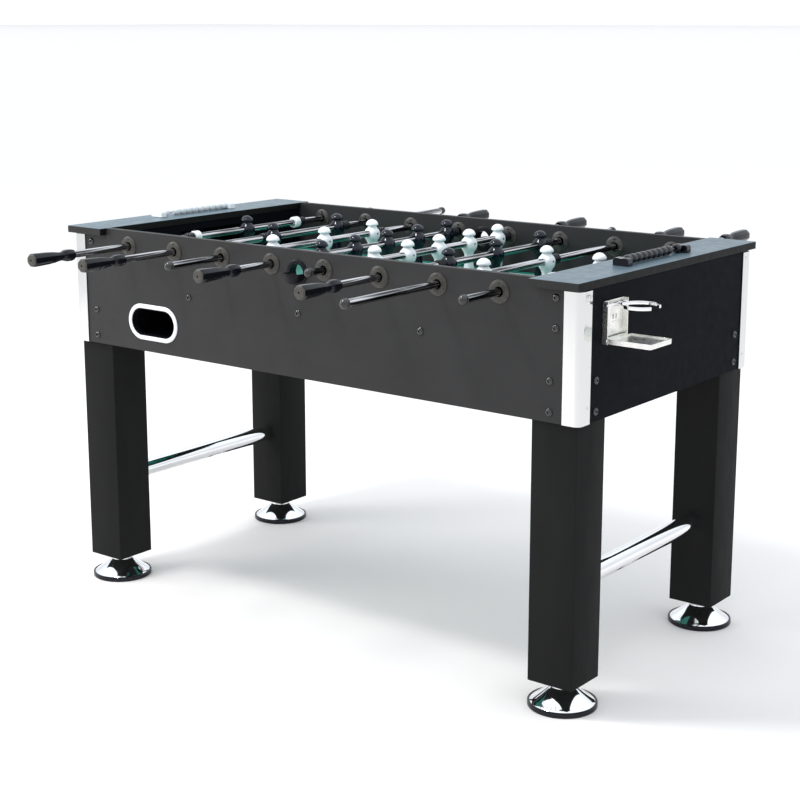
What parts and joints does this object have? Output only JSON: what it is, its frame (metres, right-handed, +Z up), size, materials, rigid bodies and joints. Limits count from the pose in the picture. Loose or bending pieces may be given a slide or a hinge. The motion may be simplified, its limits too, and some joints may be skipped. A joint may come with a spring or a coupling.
{
  "type": "foosball table",
  "caption": "Foosball table: laminate cabinet on square legs and leveling feet, sliding and spinning rods of player figures, abacus scorers, ball returns, folding cup holder.",
  "frame": {"origin": "centre of the playing surface, on the surface itself", "axes": "+X along the table towards the cup-holder end, +Y across it away from the near side (the white team's handles are on this side), +Z up"},
  "size_m": [1.5198, 1.351, 0.8888],
  "materials": {
    "charcoal_laminate": "charcoal laminate on board, satin",
    "end_laminate": "near-black laminate on board, satin",
    "leg_laminate": "charcoal laminate on board, satin",
    "ledge_laminate": "blue-grey laminate on board, satin",
    "pitch_board": "printed green surface with white markings, satin",
    "chrome": "bright chrome plate",
    "rod_steel": "polished steel tube",
    "silver_trim": "bright silver, smooth",
    "bezel_silver": "silver-white, satin",
    "black_plastic": "moulded, satin",
    "white_plastic": "moulded, semi-gloss",
    "figure_navy": "moulded figures of the dark team, gloss",
    "figure_white": "moulded figures of the white team, gloss",
    "bearing_grey": "moulded bearing flanges, satin",
    "pitch_marking": "printed white lines, satin",
    "ledge_edge": "edge band, satin",
    "screw_black": "blackened screw heads, satin",
    "grip_black": "moulded grip, gloss",
    "bumper_rubber": "moulded, matte"
  },
  "bodies": {
    "table": {"front_side_panel": "charcoal_laminate", "back_side_panel": "charcoal_laminate", "left_end_panel": "end_laminate", "right_end_panel": "end_laminate", "left_goal_wall": "charcoal_laminate", "right_goal_wall": "charcoal_laminate", "left_top_ledge": "ledge_laminate", "right_top_ledge": "ledge_laminate", "playfield": "pitch_board", "front_left_corner_trim": "silver_trim", "front_right_corner_trim": "silver_trim", "back_left_corner_trim": "silver_trim", "back_right_corner_trim": "silver_trim", "front_return_bezel": "bezel_silver", "back_return_bezel": "bezel_silver", "left_return_tray": "black_plastic", "right_return_tray": "black_plastic", "front_serve_cup": "black_plastic", "back_serve_cup": "black_plastic", "front_left_leg": "leg_laminate", "front_right_leg": "leg_laminate", "back_left_leg": "leg_laminate", "back_right_leg": "leg_laminate", "left_stretcher": "chrome", "right_stretcher": "chrome", "left_scorer_rail": "white_plastic", "right_scorer_rail": "black_plastic", "cup_holder_plate": "chrome"},
    "front_left_foot": {"front_left_foot": "chrome"},
    "front_right_foot": {"front_right_foot": "chrome"},
    "back_left_foot": {"back_left_foot": "chrome"},
    "back_right_foot": {"back_right_foot": "chrome"},
    "rod_1_carriage": {"bumper_1": "bumper_rubber"},
    "rod_1": {"rod_1": "rod_steel", "handle_1": "grip_black"},
    "rod_2_carriage": {"bumper_2": "bumper_rubber"},
    "rod_2": {"rod_2": "rod_steel", "handle_2": "grip_black"},
    "rod_3_carriage": {"bumper_3": "bumper_rubber"},
    "rod_3": {"rod_3": "rod_steel", "handle_3": "grip_black"},
    "rod_4_carriage": {"bumper_4": "bumper_rubber"},
    "rod_4": {"rod_4": "rod_steel", "handle_4": "grip_black"},
    "rod_5_carriage": {"bumper_5": "bumper_rubber"},
    "rod_5": {"rod_5": "rod_steel", "handle_5": "grip_black"},
    "rod_6_carriage": {"bumper_6": "bumper_rubber"},
    "rod_6": {"rod_6": "rod_steel", "handle_6": "grip_black"},
    "rod_7_carriage": {"bumper_7": "bumper_rubber"},
    "rod_7": {"rod_7": "rod_steel", "handle_7": "grip_black"},
    "rod_8_carriage": {"bumper_8": "bumper_rubber"},
    "rod_8": {"rod_8": "rod_steel", "handle_8": "grip_black"},
    "left_scorer_beads": {"left_scorer_beads": "white_plastic"},
    "right_scorer_beads": {"right_scorer_beads": "black_plastic"},
    "cup_holder_hoop": {"cup_holder_hoop": "chrome"},
    "cup_holder_shelf": {"cup_holder_shelf": "chrome"}
  },
  "joints": [
    {"name": "front_left_foot_screw", "type": "slide", "parent": "table", "child": "front_left_foot", "axis": [0, 0, -1], "range_m": [0, 0.02]},
    {"name": "front_right_foot_screw", "type": "slide", "parent": "table", "child": "front_right_foot", "axis": [0, 0, -1], "range_m": [0, 0.02]},
    {"name": "back_left_foot_screw", "type": "slide", "parent": "table", "child": "back_left_foot", "axis": [0, 0, -1], "range_m": [0, 0.02]},
    {"name": "back_right_foot_screw", "type": "slide", "parent": "table", "child": "back_right_foot", "axis": [0, 0, -1], "range_m": [0, 0.02]},
    {"name": "rod_1_slide", "type": "slide", "parent": "table", "child": "rod_1_carriage", "axis": [0, 1, 0], "range_m": [-0.166, 0.072]},
    {"name": "rod_1_spin", "type": "hinge", "parent": "rod_1_carriage", "child": "rod_1", "pos_m": [-0.51625, 0.047, 0.083], "axis": [0, 1, 0], "continuous": true},
    {"name": "rod_2_slide", "type": "slide", "parent": "table", "child": "rod_2_carriage", "axis": [0, 1, 0], "range_m": [-0.271, 0.071]},
    {"name": "rod_2_spin", "type": "hinge", "parent": "rod_2_carriage", "child": "rod_2", "pos_m": [-0.36875, 0.1, 0.083], "axis": [0, 1, 0], "continuous": true},
    {"name": "rod_3_slide", "type": "slide", "parent": "table", "child": "rod_3_carriage", "axis": [0, 1, 0], "range_m": [-0.108, 0.112]},
    {"name": "rod_3_spin", "type": "hinge", "parent": "rod_3_carriage", "child": "rod_3", "pos_m": [-0.22125, -0.002, 0.083], "axis": [0, 1, 0], "continuous": true},
    {"name": "rod_4_slide", "type": "slide", "parent": "table", "child": "rod_4_carriage", "axis": [0, 1, 0], "range_m": [-0.105, 0.005]},
    {"name": "rod_4_spin", "type": "hinge", "parent": "rod_4_carriage", "child": "rod_4", "pos_m": [-0.07375, 0.05, 0.083], "axis": [0, 1, 0], "continuous": true},
    {"name": "rod_5_slide", "type": "slide", "parent": "table", "child": "rod_5_carriage", "axis": [0, 1, 0], "range_m": [-0.1095, 0.0005]},
    {"name": "rod_5_spin", "type": "hinge", "parent": "rod_5_carriage", "child": "rod_5", "pos_m": [0.07375, 0.0545, 0.083], "axis": [0, 1, 0], "continuous": true},
    {"name": "rod_6_slide", "type": "slide", "parent": "table", "child": "rod_6_carriage", "axis": [0, 1, 0], "range_m": [-0.178, 0.042]},
    {"name": "rod_6_spin", "type": "hinge", "parent": "rod_6_carriage", "child": "rod_6", "pos_m": [0.22125, 0.068, 0.083], "axis": [0, 1, 0], "continuous": true},
    {"name": "rod_7_slide", "type": "slide", "parent": "table", "child": "rod_7_carriage", "axis": [0, 1, 0], "range_m": [-0.099, 0.243]},
    {"name": "rod_7_spin", "type": "hinge", "parent": "rod_7_carriage", "child": "rod_7", "pos_m": [0.36875, -0.072, 0.083], "axis": [0, 1, 0], "continuous": true},
    {"name": "rod_8_slide", "type": "slide", "parent": "table", "child": "rod_8_carriage", "axis": [0, 1, 0], "range_m": [-0.14, 0.098]},
    {"name": "rod_8_spin", "type": "hinge", "parent": "rod_8_carriage", "child": "rod_8", "pos_m": [0.51625, 0.021, 0.083], "axis": [0, 1, 0], "continuous": true},
    {"name": "left_scorer_beads_slide", "type": "slide", "parent": "table", "child": "left_scorer_beads", "axis": [0, -1, 0], "range_m": [0, 0.019]},
    {"name": "right_scorer_beads_slide", "type": "slide", "parent": "table", "child": "right_scorer_beads", "axis": [0, 1, 0], "range_m": [0, 0.019]},
    {"name": "cup_holder_hoop_hinge", "type": "hinge", "parent": "table", "child": "cup_holder_hoop", "pos_m": [0.7088, -0.2345, 0.0657], "axis": [0, 1, 0], "range_deg": [0, 42]},
    {"name": "cup_holder_shelf_hinge", "type": "hinge", "parent": "table", "child": "cup_holder_shelf", "pos_m": [0.7088, -0.2345, -0.0026], "axis": [0, 1, 0], "range_deg": [-36, 0]}
  ]
}
